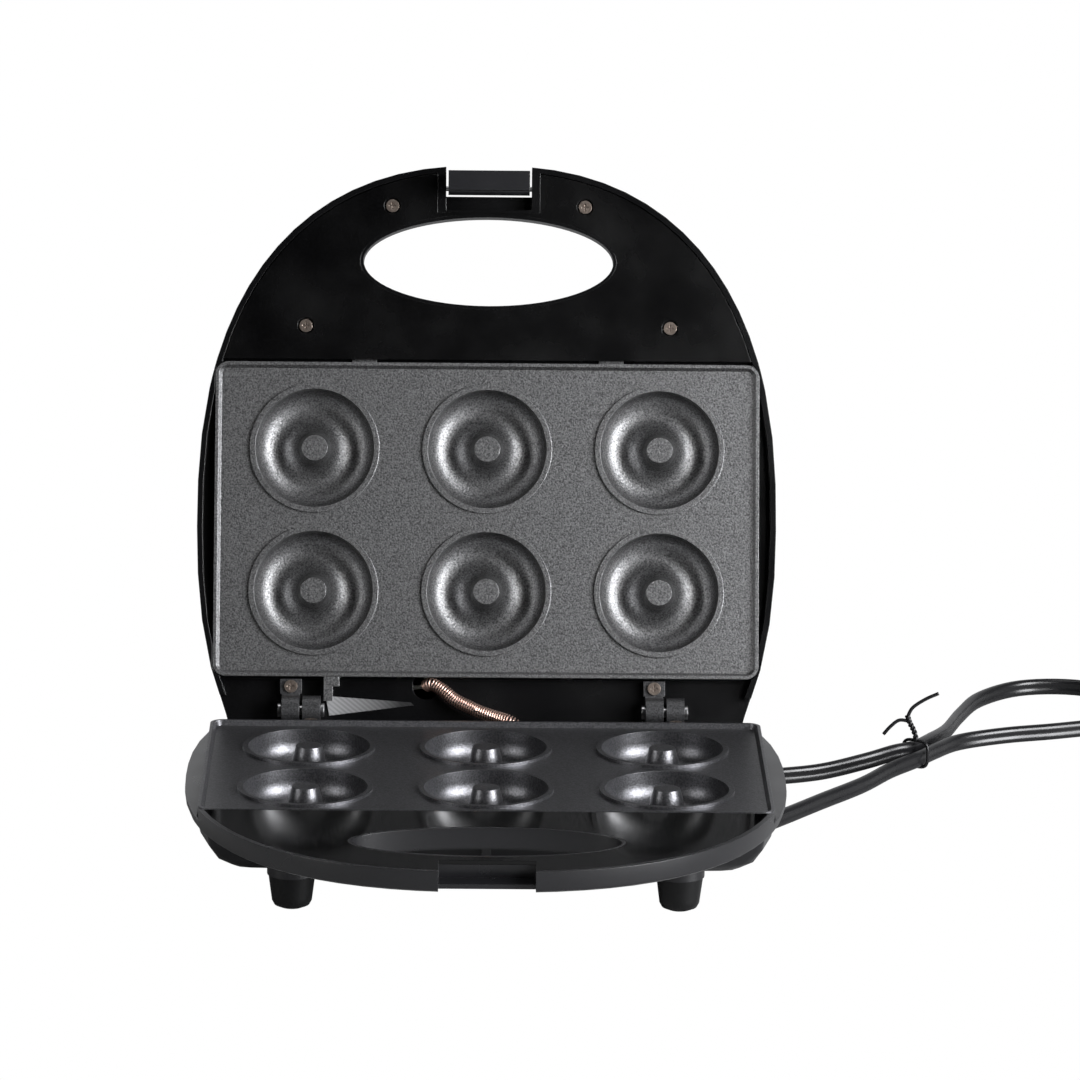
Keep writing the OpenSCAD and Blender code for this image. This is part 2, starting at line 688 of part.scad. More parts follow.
module lid_wires() {
    color("#c8c9cc") lid_place() {
        for (s = [-1, 1]) wire([[s * element_x, element_back + 4, element_z - 1.9], [s * element_x, plate_d / 2, -14],
            [s * 20 - 24, plate_d / 2 + 5, -16], [conduit_lid[0] + s, conduit_lid[1], rear_ledge_z - 4]], 0.9);
        wire([[-21, plate_d / 2 + 0.9, -12.8], [-27, plate_d / 2 - 2.2, -13.2], [-30, plate_d / 2 - 5.7, -13.4],
              [-30, 52, -14.9], [-30, 6, -14.9], [-34, 0, -14.9], [-80, 0, -14.9], [-86.2, 0, -13]], 0.9);
    }
}

// ---------- hinges ----------
// Middles of the arms along x: side 1 for the base's arms, -1 for the lid's
function arm_x(side) = [for (s = [-1, 1]) s * hinge_span + hinge_shift + side * knuckle_offset];

module hinge_arm(x) {
    translate([x, 0, 0]) difference() {
        union() {
            translate([-knuckle_w / 2, lug_y, rear_ledge_z]) cube([knuckle_w, hinge_y - lug_y, strap_top_z - rear_ledge_z]);
            translate([-lug_w / 2, lug_y, rear_ledge_z]) cube([lug_w, lug_l, strap_top_z - rear_ledge_z]);
            translate([-knuckle_w / 2, hinge_y, 0]) rotate([0, 90, 0]) cylinder(h = knuckle_w, r = knuckle_r);
        }
        translate([-knuckle_w, hinge_y, 0]) rotate([0, 90, 0]) cylinder(h = 2 * knuckle_w, r = hinge_pin_r + pin_gap);
        translate([0, lug_y + lug_l / 2, rear_ledge_z - 1]) cylinder(h = 10, r = arm_screw_r);
    }
}

module arm_screws(side) {
    for (x = arm_x(side)) translate([x, lug_y + lug_l / 2, strap_top_z]) screw(screw_head_r, 1.2, 1.2, 6);
}

module hinge_pin(s) {
    color("#77787b") base_place() translate([s * hinge_span + hinge_shift, hinge_y, 0]) rotate([0, 90, 0]) {
        cylinder(h = 2 * pin_half_l, r = hinge_pin_r, center = true);
        for (e = [-1, 1]) translate([0, 0, e * (pin_half_l + pin_head_t / 2)])
            cylinder(h = pin_head_t + eps, r = pin_head_r, center = true);
    }
}

module hinge_arm_base_left() {
    color("#3b3c3f") base_place() hinge_arm(arm_x(1)[0]);
}

module hinge_arm_base_right() {
    color("#3b3c3f") base_place() hinge_arm(arm_x(1)[1]);
}

module hinge_arm_lid_left() {
    color("#3b3c3f") lid_place() hinge_arm(arm_x(-1)[0]);
}

module hinge_arm_lid_right() {
    color("#3b3c3f") lid_place() hinge_arm(arm_x(-1)[1]);
}

module hinge_pin_left() {
    hinge_pin(-1);
}

module hinge_pin_right() {
    hinge_pin(1);
}

module hinge_screws_base() {
    color("#3a322c") base_place() arm_screws(1);
}

module hinge_screws_lid() {
    color("#3a322c") lid_place() arm_screws(-1);
}

// ---------- lid trim, lamps and latch ----------
lamp_x = 8;
lamp_y = split_y - 10.5;
lamp_r = 2.6;

module lamp(s) {
    lid_place() translate([s * lamp_x, lamp_y, 0]) {
        translate([0, 0, skin_z]) cylinder(h = 1.2, r = lamp_r + 0.8);
        translate([0, 0, -flange_h - 0.6]) cylinder(h = flange_h + skin_z + 0.6 + eps, r = lamp_r);
    }
}

module power_lens() {
    color("#8c1512") lamp(-1);
}

module ready_lens() {
    color("#14662a") lamp(1);
}

module lamp_board() {
    color("#2f5a35") lid_place() translate([-14, lamp_y - 3.4, skin_z + 1.2]) cube([28, 6.8, 1.4]);
}

module heat_shield_tongue() {
    color("#8d8e90") lid_place() translate([0, 0, rear_ledge_z]) linear_extrude(0.5)
        polygon([[-64.6, ledge_y + 7], [-63, ledge_y + 15], [-29, ledge_y + 10.6], [-30, ledge_y + 9.4]]);
}

module latch_pin() {
    color("#77787b") lid_place() translate([0, latch_y, -latch_z]) rotate([0, 90, 0])
        cylinder(h = notch_w + 2 * cheek_t - 1.2, r = latch_pin_r, center = true);
}

module latch_clip() {
    color("#202124") lid_place() mirror([0, 0, 1]) difference() {
        union() {
            translate([0, latch_y, latch_z]) rotate([0, 90, 0]) cylinder(h = latch_w, r = latch_barrel_r, center = true);
            translate([-latch_w / 2, latch_plate_y + 0.5, latch_z - latch_barrel_r])
                cube([latch_w, latch_y - latch_plate_y - 0.5, 2 * latch_barrel_r - 0.2]);
            translate([-latch_w / 2, latch_plate_y, hook_z - hook_t])
                cube([latch_w, latch_plate_t, latch_z + latch_barrel_r - 0.2 - hook_z + hook_t]);
            translate([-latch_w / 2, latch_plate_y, hook_z - hook_t]) cube([latch_w, latch_plate_t + 5.2, hook_t]);
        }
        translate([0, latch_y, latch_z]) rotate([0, 90, 0]) cylinder(h = latch_w + 2, r = latch_pin_r + pin_gap, center = true);
    }
}

// ---------- feet ----------
module foot(i) {
    color("#17181a") base_place() translate([feet[i][0], feet[i][1], -base_depth - foot_h]) difference() {
        rotate_extrude() {
            polygon([[0, foot_h], [0, 0], [foot_d / 2 - 4.4, 0], [foot_d / 2 - 2.2, 1], [foot_d / 2 - 1.35, 2.6],
                     [foot_d / 2, foot_h]]);
        }
        translate([0, 0, -1]) cylinder(h = foot_h - 2, r = 3);
        cylinder(h = foot_h + 1, r = 1.6);
    }
}

module foot_front_left() {
    foot(0);
}

module foot_front_right() {
    foot(1);
}

module foot_rear_left() {
    foot(2);
}

module foot_rear_right() {
    foot(3);
}

module foot_screws() {
    color("#8f8f92") base_place() for (p = feet) translate([p[0], p[1], -base_depth - 3]) mirror([0, 0, 1])
        screw(screw_head_r, 1.4, 1.2, 9);
}

// ---------- mains cord ----------
// Middle of the cord from the strain relief to the plug, in the row frame
cord_route = [
    [60, 83.1, 20.2], [60, 88, 20], [61, 95.5, 17], [65, 102.5, 11], [76, 104, 5],
    [96, 98, 3.5], [121, 104.5, 3.5],
    [139, 112, 3.5], [157, 119, 6], [169, 126.5, 7.5], [177.8, 133, 7.5], [186, 149, 6.5], [194, 170, 4.5],
    [202.5, 200, 3.5], [213, 226, 3.5], [232, 245, 3.5], [256, 247, 3.5], [275, 232, 3.5], [279, 208, 3.5],
    [266, 188, 3.5], [243, 177, 3.5], [219, 169, 3.5], [199, 158, 3.5], [187.5, 141, 4.3], [179, 126.6, 4.7],
    [167, 111.7, 4.3], [154, 92, 3.5], [136, 68, 3.5], [118, 43.5, 3.5], [101, 22, 3.5], [80, 8, 3.5],
    [55, 4, 3.5], [34, 14, 3.5], [22, 34, 3.5], [17, 60, 3.5], [13, 84, 3.5],
];
plug_at = cord_route[len(cord_route) - 1];
plug_turn = atan2(plug_at[1] - cord_route[len(cord_route) - 2][1], plug_at[0] - cord_route[len(cord_route) - 2][0]);
steps_per_span = 2;

function spline(a, b, c, d, t) =
    ((2 * b) + (c - a) * t + (2 * a - 5 * b + 4 * c - d) * t * t + (3 * b - a - 3 * c + d) * t * t * t) / 2;

function smooth(points, steps) = let(last = len(points) - 1)
    concat([for (i = [0:last - 1], j = [0:steps - 1])
        spline(points[max(i - 1, 0)], points[i], points[i + 1], points[min(i + 2, last)], j / steps)],
        [points[last]]);

// Closed tube of a section [[across, up], ...] swept along a route
module sweep(route, section, up_hint = [0, 0, 1]) {
    n = len(section);
    last = len(route) - 1;
    points = [for (i = [0:last]) let(
            t = route[min(i + 1, last)] - route[max(i - 1, 0)],
            across = cross(up_hint, t),
            side = across / norm(across),
            up = cross(t, side) / norm(t))
        each [for (s = section) route[i] + side * s[0] + up * s[1]]];
    sides = [for (i = [0:last - 1], j = [0:n - 1])
        let(a = i * n + j, b = i * n + (j + 1) % n)
        each [[a, a + n, b + n], [a, b + n, b]]];
    polyhedron(points, concat(sides, [[for (j = [0:n - 1]) j], [for (j = [n - 1:-1:0]) last * n + j]]));
}

function round_section(r) = [for (a = [0:45:315]) [r * cos(a), r * sin(a)]];

// Flat oval standing on edge
function flat_section(w, h) = let(r = w / 2)
    [[r, -h / 2 + r], [r, h / 2 - r], [r * 0.6, h / 2 - r * 0.3], [0, h / 2],
     [-r, h / 2 - r], [-r, -h / 2 + r], [0, -h / 2], [r * 0.6, -h / 2 + r * 0.3]];

// Round wire through a few points
module wire(points, r, up_hint = [0, 0, 1]) {
    sweep(points, round_section(r), up_hint);
}

module mains_cord() {
    color("#101113") sweep(smooth(cord_route, steps_per_span), flat_section(cord_t, cord_h));
}

module plug_body() {
    color("#141517") translate([plug_at[0], plug_at[1], 0]) rotate([0, 0, plug_turn]) difference() {
        union() {
            translate([0, -3.5, 0]) cube([12, 7, 7.5]);
            translate([10, -6.5, 0]) cube([8, 13, 11]);
            translate([18, -9, 0]) cube([18, 18, 14]);
        }
        for (s = [-1, 1]) translate([29, s * 5 - 3.2, 3.7]) cube([10, 6.4, 6.6]);
    }
}

module plug_pins() {
    color("#c9a14a") translate([plug_at[0], plug_at[1], 0]) rotate([0, 0, plug_turn])
        for (s = [-1, 1]) translate([29, s * 6.35 - 0.75, 3.85]) cube([24, 1.5, 6.3]);
}

module strain_relief() {
    color("#141517") base_place() translate([cord_x, base_back - relief_in, cord_z]) rotate([-90, 0, 0]) difference() {
        union() {
            cylinder(h = relief_in + 2, r = cord_hole_r - 0.2);
            cylinder(h = 2, r = cord_hole_r + 0.5);
            translate([0, 0, relief_in - 2.8]) cylinder(h = 2, r = cord_hole_r + 1.6);
            translate([0, 0, relief_in - 1]) cylinder(h = relief_l - 5, r = cord_h / 2 + 0.1);
        }
        cylinder(h = 8, r = 2.6);
        translate([-10, cord_hole_r - 0.4, -1]) cube([20, 5, 3.2]);
    }
}

module cord_clamp() {
    color("#d8d6cd") base_place() translate([cord_x, base_back - 22, floor_z + 2.6]) difference() {
        translate([-10, -3, 0]) cube([20, 6, 2]);
        for (s = [-1, 1]) translate([s * 7, 0, -1]) cylinder(h = 4, r = 0.9);
    }
}

tie_at = [178.4, 129.8];
tie_turn = 58;
tie_wire_r = 0.8;

// A band round both runs of the cord, its twisted stem, and two loose ends
module twist_tie() {
    stem = [[0.3, 0, 12.2], [-0.8, 0.2, 16], [-2.6, 0.2, 19.5], [-3.6, 0, 22.4]];
    color("#0e0f10") translate([tie_at[0], tie_at[1], 0]) {
        rotate([0, 0, tie_turn]) difference() {
            translate([-tie_wire_r, -6.3, 0]) cube([2 * tie_wire_r, 12.6, 12.8]);
            translate([-2, -5.3, 1]) cube([4, 10.6, 10.8]);
        }
        wire([stem[0], stem[1], stem[2], stem[3], [-1.6, 0, 26], [3.5, 0.4, 29.5], [9, 0, 32.4]], 0.9, [0, 1, 0]);
        wire([stem[2] + [-0.9, 0, 0], [-7, 0.5, 20.5], [-10.5, 0, 18], [-13.4, 0, 14.4]], 0.7, [0, 1, 0]);
    }
}

// ---------- conduit between the halves ----------
conduit_r = 2.85;
conduit_base = [13, base_back - 5];
conduit_lid = [-24, plate_d / 2 + 3.3];
conduit_route = [[-24, hinge_y + 9.3, 7.9], [-21.5, hinge_y + 7, 9.2], [-17, hinge_y + 4.6, 7.2], [-12.6, hinge_y + 2.6, 4.1],
                 [-7, hinge_y + 0.5, 1.8], [-2.5, hinge_y - 1.4, 0.2], [3.6, hinge_y - 3.9, -1.2],
                 [9.6, hinge_y - 6.6, -2.4], [12.6, hinge_y - 7.4, -4.6], [13, hinge_y - 7.4, -6.8]];

module wire_conduit() {
    color("#b0796a") base_place() wire(conduit_route, conduit_r);
}

base_shell();
base_deck();
base_screws();
lower_plate();
lower_plate_screws();
lower_heating_element();
lower_element_clamps();
lower_reflector();
lower_thermostat();
thermal_fuse();
terminal_block();
base_wires();
hinge_arm_base_left();
hinge_arm_base_right();
hinge_pin_left();
hinge_pin_right();
hinge_screws_base();
foot_front_left();
foot_front_right();
foot_rear_left();
foot_rear_right();
foot_screws();
strain_relief();
cord_clamp();
mains_cord();
plug_body();
plug_pins();
twist_tie();
wire_conduit();
lid_cover();
lid_handle_panel();
lid_panel_screws();
upper_plate();
upper_plate_screws();
upper_heating_element();
upper_element_clamps();
upper_reflector();
upper_thermostat();
lid_wires();
power_lens();
ready_lens();
lamp_board();
hinge_arm_lid_left();
hinge_arm_lid_right();
hinge_screws_lid();
heat_shield_tongue();
latch_pin();
latch_clip();
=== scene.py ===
import math

import bpy
import numpy as np
from mathutils import Matrix, Vector


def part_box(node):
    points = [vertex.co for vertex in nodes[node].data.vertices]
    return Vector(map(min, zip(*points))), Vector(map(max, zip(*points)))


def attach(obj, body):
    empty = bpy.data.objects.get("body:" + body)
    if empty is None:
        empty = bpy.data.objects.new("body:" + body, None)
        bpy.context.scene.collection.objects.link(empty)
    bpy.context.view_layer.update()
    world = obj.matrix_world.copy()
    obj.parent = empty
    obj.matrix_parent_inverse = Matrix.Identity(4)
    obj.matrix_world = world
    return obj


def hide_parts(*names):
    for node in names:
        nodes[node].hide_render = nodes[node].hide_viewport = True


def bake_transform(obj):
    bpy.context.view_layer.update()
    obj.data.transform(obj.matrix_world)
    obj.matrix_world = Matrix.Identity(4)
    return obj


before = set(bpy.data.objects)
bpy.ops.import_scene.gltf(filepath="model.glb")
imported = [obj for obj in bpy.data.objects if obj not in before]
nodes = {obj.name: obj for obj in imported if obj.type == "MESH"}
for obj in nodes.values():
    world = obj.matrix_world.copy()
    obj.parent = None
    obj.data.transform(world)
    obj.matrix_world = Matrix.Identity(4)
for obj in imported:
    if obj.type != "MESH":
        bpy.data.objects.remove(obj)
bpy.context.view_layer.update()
MM = 0.001

# ---------- helpers ----------


def spline(points, steps):
    """Points on a Catmull-Rom curve through the given ones, in metres."""
    p = [np.array(q, float) * MM for q in points]
    p = [p[0]] + p + [p[-1]]
    out = []
    for i in range(1, len(p) - 2):
        a, b, c, d = p[i - 1 : i + 3]
        for j in range(steps):
            t = j / steps
            out.append(
                (
                    2 * b
                    + (c - a) * t
                    + (2 * a - 5 * b + 4 * c - d) * t**2
                    + (3 * b - a - 3 * c + d) * t**3
                )
                / 2
            )
    out.append(p[-2])
    return np.array(out)


def frames(path, hint):
    """Unit side and up vectors along a path."""
    t = np.gradient(path, axis=0)
    side = np.cross(hint, t)
    side /= np.linalg.norm(side, axis=1)[:, None]
    up = np.cross(t, side)
    up /= np.linalg.norm(up, axis=1)[:, None]
    return side, up


def add_mesh(name, verts, faces, mat=None):
    me = bpy.data.meshes.new(name)
    me.from_pydata([tuple(v) for v in verts], [], [tuple(f) for f in faces])
    me.validate()
    me.shade_smooth()
    obj = bpy.data.objects.new(name, me)
    bpy.context.scene.collection.objects.link(obj)
    if mat:
        me.materials.append(mat)
    return obj


def tube(path, section, hint=(0, 0, 1)):
    """Vertices and faces of a closed tube of a section [(across, up), ...] in metres."""
    side, up = frames(path, np.array(hint, float))
    s = np.array(section, float)
    n, k = len(path), len(s)
    verts = (
        path[:, None, :]
        + side[:, None, :] * s[None, :, 0, None]
        + up[:, None, :] * s[None, :, 1, None]
    ).reshape(-1, 3)
    faces = [
        (i * k + j, i * k + (j + 1) % k, (i + 1) * k + (j + 1) % k, (i + 1) * k + j)
        for i in range(n - 1)
        for j in range(k)
    ]
    faces += [
        tuple(range(k - 1, -1, -1)),
        tuple((n - 1) * k + j for j in range(k)),
    ]
    return verts, faces


def joined(parts):
    """One vertex and face list from several."""
    verts, faces = [], []
    for v, f in parts:
        faces += [tuple(i + len(verts) for i in face) for face in f]
        verts += [tuple(p) for p in v]
    return verts, faces


def ring(r, sides=10):
    a = np.linspace(0, 2 * math.pi, sides, endpoint=False)
    return np.stack([r * np.cos(a), r * np.sin(a)], 1)


def lathe(profile, origin, axis, sides=40):
    """Solid of revolution of [(along, radius), ...] in mm about an axis from origin."""
    axis = Vector(axis).normalized()
    turn = axis.to_track_quat("Z", "Y").to_matrix()
    verts, faces = [], []
    for z, r in profile:
        for j in range(sides):
            a = 2 * math.pi * j / sides
            p = turn @ Vector((r * math.cos(a), r * math.sin(a), z))
            verts.append((Vector(origin) + p) * MM)
    for i in range(len(profile) - 1):
        for j in range(sides):
            faces.append(
                (
                    i * sides + j,
                    i * sides + (j + 1) % sides,
                    (i + 1) * sides + (j + 1) % sides,
                    (i + 1) * sides + j,
                )
            )
    last = (len(profile) - 1) * sides
    faces += [tuple(range(sides - 1, -1, -1)), tuple(last + j for j in range(sides))]
    return verts, faces


def refine(obj, angle=32):
    """Smooth shading with crisp edges; the mesh's own vertices stay as they are."""
    me = obj.data
    for name in ("custom_normal", "sharp_edge", "sharp_face"):
        if name in me.attributes:
            me.attributes.remove(me.attributes[name])
    me.shade_smooth()
    weld = obj.modifiers.new("weld", "WELD")
    weld.merge_threshold = 4e-6
    split = obj.modifiers.new("crisp", "EDGE_SPLIT")
    split.split_angle = math.radians(angle)
    split.use_edge_sharp = False


# ---------- camera ----------
cam_at = Vector((-12.58, -2278.19, 687.15)) * MM
cam_to = Vector((20.13, -5.125, 129.28)) * MM
cam_roll = math.radians(0.633)
look = (cam_to - cam_at).normalized()
right = look.cross(Vector((0, 0, 1))).normalized()
above = right.cross(look)
cam_right = right * math.cos(cam_roll) + above * math.sin(cam_roll)
cam_up = above * math.cos(cam_roll) - right * math.sin(cam_roll)
camera = bpy.data.objects.new("camera", bpy.data.cameras.new("camera"))
camera.data.lens = 201.58
camera.data.sensor_width = 36
camera.data.dof.use_dof = False
camera.data.clip_end = 40
camera.matrix_world = Matrix.Translation(cam_at) @ Matrix(
    (cam_right, cam_up, -look)
).transposed().to_4x4()
bpy.context.scene.collection.objects.link(camera)
bpy.context.scene.camera = camera

# ---------- materials ----------


def material(
    name,
    colour,
    rough,
    metal=0.0,
    grain=0.0,
    grain_mm=0.7,
    bump=0.0,
    coat=0.0,
    level=0.5,
    edge_mm=0.3,
    smudge=0.0,
):
    """A principled surface with speckle, bump, slow roughness change and softened edges."""
    m = bpy.data.materials.new(name)
    m.use_nodes = True
    t = m.node_tree
    add, link = t.nodes.new, t.links.new
    b = t.nodes["Principled BSDF"]
    b.inputs["Metallic"].default_value = metal
    b.inputs["Coat Weight"].default_value = coat
    b.inputs["Coat Roughness"].default_value = 0.06
    b.inputs["Specular IOR Level"].default_value = level
    where = add("ShaderNodeTexCoord").outputs["Object"]

    def noise(size_mm, detail):
        n = add("ShaderNodeTexNoise")
        n.inputs["Scale"].default_value = 1000 / size_mm
        n.inputs["Detail"].default_value = detail
        link(where, n.inputs["Vector"])
        return n.outputs["Fac"]

    fine = noise(grain_mm, 2)
    spread = add("ShaderNodeMapRange")
    spread.inputs["From Min"].default_value = 0.32
    spread.inputs["From Max"].default_value = 0.68
    link(fine, spread.inputs["Value"])
    mix = add("ShaderNodeMix")
    mix.data_type = "RGBA"
    mix.inputs["A"].default_value = (*[c * (1 - grain) for c in colour], 1)
    mix.inputs["B"].default_value = (*[c * (1 + grain) for c in colour], 1)
    link(spread.outputs["Result"], mix.inputs["Factor"])
    link(mix.outputs["Result"], b.inputs["Base Color"])
    slow = add("ShaderNodeMapRange")
    slow.inputs["From Min"].default_value = 0.3
    slow.inputs["From Max"].default_value = 0.7
    slow.inputs["To Min"].default_value = max(rough - smudge, 0.02)
    slow.inputs["To Max"].default_value = min(rough + smudge, 1)
    link(noise(26, 3), slow.inputs["Value"])
    link(slow.outputs["Result"], b.inputs["Roughness"])
    soft = add("ShaderNodeBevel")
    soft.samples = 4
    soft.inputs["Radius"].default_value = edge_mm * MM
    bumped = add("ShaderNodeBump")
    bumped.inputs["Strength"].default_value = bump
    bumped.inputs["Distance"].default_value = 0.00012
    link(fine, bumped.inputs["Height"])
    link(soft.outputs["Normal"], bumped.inputs["Normal"])
    link(bumped.outputs["Normal"], b.inputs["Normal"])
    return m


M = {
    "housing": material(
        "housing_satin", (0.007, 0.007, 0.008), 0.3, bump=0.12, grain=0.1, grain_mm=0.9,
        smudge=0.03
    ),
    # The lid cover is the housing's plastic, made glossier and darker; the darker colour is
    # painted shade for the lid's shaded rear ledge and side slits
    "cover": material(
        "lid_cover_black_painted_shade", (0.0016, 0.0016, 0.0018), 0.24, bump=0.05, grain=0.3, grain_mm=0.9,
        smudge=0.04, level=0.4
    ),
    "gloss": material(
        "gloss_black", (0.0006, 0.0006, 0.0007), 0.07, level=0.4, bump=0.02,
        grain=0.5, grain_mm=1.1, smudge=0.03
    ),
    "panel": material(
        "lid_panel_satin", (0.0008, 0.0008, 0.0009), 0.26, bump=0.25, grain=0.5, grain_mm=0.8,
        smudge=0.06, level=0.35
    ),
    # Both plates carry one non-stick coating, made here as a darker and a lighter copy; the upper
    # plate's lighter colour is painted light
    "lower": material(
        "lower_nonstick", (0.1, 0.1, 0.106), 0.36, metal=0.9, grain=0.35, bump=0.7, edge_mm=0.22
    ),
    "upper": material(
        "upper_nonstick", (0.17, 0.17, 0.172), 0.38, metal=0.92, grain=0.5, bump=0.8, edge_mm=0.22
    ),
    "hinge": material(
        "hinge_coating", (0.05, 0.05, 0.052), 0.42, metal=0.7, grain=0.5, bump=0.8, edge_mm=0.3
    ),
    "screw": material(
        "dark_screws", (0.34, 0.28, 0.24), 0.3, metal=0.95, grain=0.2, bump=0.1, edge_mm=0.12
    ),
    "steel": material(
        "steel", (0.42, 0.42, 0.43), 0.28, metal=1.0, grain=0.1, bump=0.1
    ),
    "sheath": material(
        "element_sheath", (0.2, 0.19, 0.17), 0.5, metal=0.7, grain=0.3, bump=0.3
    ),
    "reflector": material(
        "reflector_sheet", (0.6, 0.6, 0.61), 0.3, metal=1.0, grain=0.08, bump=0.2
    ),
    "ceramic": material(
        "ceramic", (0.62, 0.6, 0.55), 0.6, grain=0.08, bump=0.2
    ),
    "pale": material(
        "pale_plastic", (0.6, 0.58, 0.53), 0.45, grain=0.05, bump=0.1
    ),
    "wire": material(
        "wire_sleeve", (0.55, 0.54, 0.5), 0.6, grain=0.15, bump=0.3
    ),
    "foot": material(
        "foot_rubber", (0.002, 0.002, 0.0022), 0.36, level=0.3, grain=0.2, bump=0.15
    ),
    "pvc": material(
        "cord_pvc", (0.006, 0.006, 0.0065), 0.3, level=0.35, grain=0.15, bump=0.08,
        smudge=0.06, edge_mm=0.2
    ),
    "brass": material(
        "brass_pins", (0.75, 0.52, 0.22), 0.25, metal=1.0, grain=0.05, bump=0.05
    ),
    "copper": material(
        "copper_spring", (0.62, 0.42, 0.35), 0.34, metal=1.0, grain=0.12, bump=0.1, edge_mm=0.1
    ),
    "sleeve": material(
        "spring_core", (0.012, 0.01, 0.01), 0.5, grain=0.3, bump=0.3
    ),
    "red": material(
        "red_lens", (0.42, 0.02, 0.015), 0.18, grain=0.05, coat=0.6
    ),
    "green": material(
        "green_lens", (0.02, 0.3, 0.08), 0.18, grain=0.05, coat=0.6
    ),
    "board": material(
        "lamp_board", (0.03, 0.13, 0.04), 0.4, grain=0.2, bump=0.1
    ),
    # The heat-shield sheet's base colour is replaced below by a painted reflection
    "tongue": material(
        "shield_sheet_painted_reflection", (0.35, 0.35, 0.36), 0.4, metal=0.6, grain=0.1, bump=0.2
    ),
}

# Painted reflection: the sheet's colour is bright grey at the left and fades to near black at the
# right, with fine slanting streaks in the bright part
tt = M["tongue"].node_tree
tb = tt.nodes["Principled BSDF"]
place = tt.nodes["Texture Coordinate"].outputs["Object"]
split_x = tt.nodes.new("ShaderNodeSeparateXYZ")
tt.links.new(place, split_x.inputs[0])
painted_reflection_fade = tt.nodes.new("ShaderNodeMapRange")
painted_reflection_fade.inputs["From Min"].default_value = -0.062
painted_reflection_fade.inputs["From Max"].default_value = -0.034
painted_reflection_fade.inputs["To Min"].default_value = 1.0
painted_reflection_fade.inputs["To Max"].default_value = 0.06
tt.links.new(split_x.outputs["X"], painted_reflection_fade.inputs["Value"])
streaks = tt.nodes.new("ShaderNodeTexWave")
streaks.bands_direction = "DIAGONAL"
streaks.inputs["Scale"].default_value = 260
streaks.inputs["Distortion"].default_value = 2.5
streaks.inputs["Detail Scale"].default_value = 40
tt.links.new(place, streaks.inputs["Vector"])
depth = tt.nodes.new("ShaderNodeMapRange")
depth.inputs["To Min"].default_value = 0.72
depth.inputs["To Max"].default_value = 1.1
tt.links.new(streaks.outputs["Fac"], depth.inputs["Value"])
both = tt.nodes.new("ShaderNodeMath")
both.operation = "MULTIPLY"
tt.links.new(painted_reflection_fade.outputs["Result"], both.inputs[0])
tt.links.new(depth.outputs["Result"], both.inputs[1])
# Colour B is the painted reflection's bright grey, colour A the sheet's own near black
shade = tt.nodes.new("ShaderNodeMix")
shade.data_type = "RGBA"
shade.inputs["A"].default_value = (0.004, 0.004, 0.004, 1)
shade.inputs["B"].default_value = (0.36, 0.36, 0.365, 1)
tt.links.new(both.outputs[0], shade.inputs["Factor"])
tt.links.new(shade.outputs["Result"], tb.inputs["Base Color"])

finish_of = {
    "base_shell": "housing", "lid_cover": "cover", "base_deck": "gloss",
    "lid_handle_panel": "panel", "lower_plate": "lower", "upper_plate": "upper",
    "lower_heating_element": "sheath", "upper_heating_element": "sheath",
    "lower_element_clamps": "steel", "upper_element_clamps": "steel",
    "lower_reflector": "reflector", "upper_reflector": "reflector",
    "lower_thermostat": "ceramic", "upper_thermostat": "ceramic",
    "thermal_fuse": "ceramic", "terminal_block": "pale", "cord_clamp": "pale",
    "base_wires": "wire", "lid_wires": "wire",
    "hinge_pin_left": "steel", "hinge_pin_right": "steel", "latch_pin": "steel",
    "strain_relief": "pvc", "mains_cord": "pvc", "plug_body": "pvc", "twist_tie": "pvc",
    "plug_pins": "brass", "wire_conduit": "copper", "power_lens": "red",
    "ready_lens": "green", "lamp_board": "board", "heat_shield_tongue": "tongue",
    "latch_clip": "housing",
}
for name, obj in nodes.items():
    key = finish_of.get(name)
    if key is None:
        if name.startswith("foot_") and "screws" not in name:
            key = "foot"
        elif name.startswith("hinge_arm"):
            key = "hinge"
        else:
            key = "screw"
    obj.data.materials.clear()
    obj.data.materials.append(M[key])
    refine(obj)

# ---------- mains cord ----------
cord_route = [
    (60, 83.1, 20.2), (60, 88, 20), (61, 95.5, 17), (65, 102.5, 11), (76, 104, 5), (96, 98, 3.5),
    (121, 104.5, 3.5), (139, 112, 3.5), (157, 119, 6), (169, 126.5, 7.5), (177.8, 133, 7.5),
    (186, 149, 6.5), (194, 170, 4.5), (202.5, 200, 3.5), (213, 226, 3.5), (232, 245, 3.5),
    (256, 247, 3.5), (275, 232, 3.5), (279, 208, 3.5), (266, 188, 3.5), (243, 177, 3.5),
    (219, 169, 3.5), (199, 158, 3.5), (187.5, 141, 4.3), (179, 126.6, 4.7), (167, 111.7, 4.3),
    (154, 92, 3.5), (136, 68, 3.5), (118, 43.5, 3.5), (101, 22, 3.5), (80, 8, 3.5),
    (55, 4, 3.5), (34, 14, 3.5), (22, 34, 3.5), (17, 60, 3.5), (13, 84, 3.5),
]
cord_w, cord_h = 3.8, 7.0
groove_half, groove_deep = 0.55, 0.42
cord_steps = 6
cord_path = spline(cord_route, cord_steps)
core = cord_w / 2
drop = cord_h / 2 - core
section = []
for s in (1, -1):
    for a in range(-50, 211, 20):
        x = core * math.cos(math.radians(a)) * s
        z = (core * math.sin(math.radians(a)) + drop) * s
        if abs(z) < groove_half:
            continue
        section.append((x * MM, z * MM))
    section.append((-s * (core - groove_deep) * MM, 0.0))
cord = add_mesh("cord_flat", *tube(cord_path, section), M["pvc"])
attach(cord, "base")
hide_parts("mains_cord")

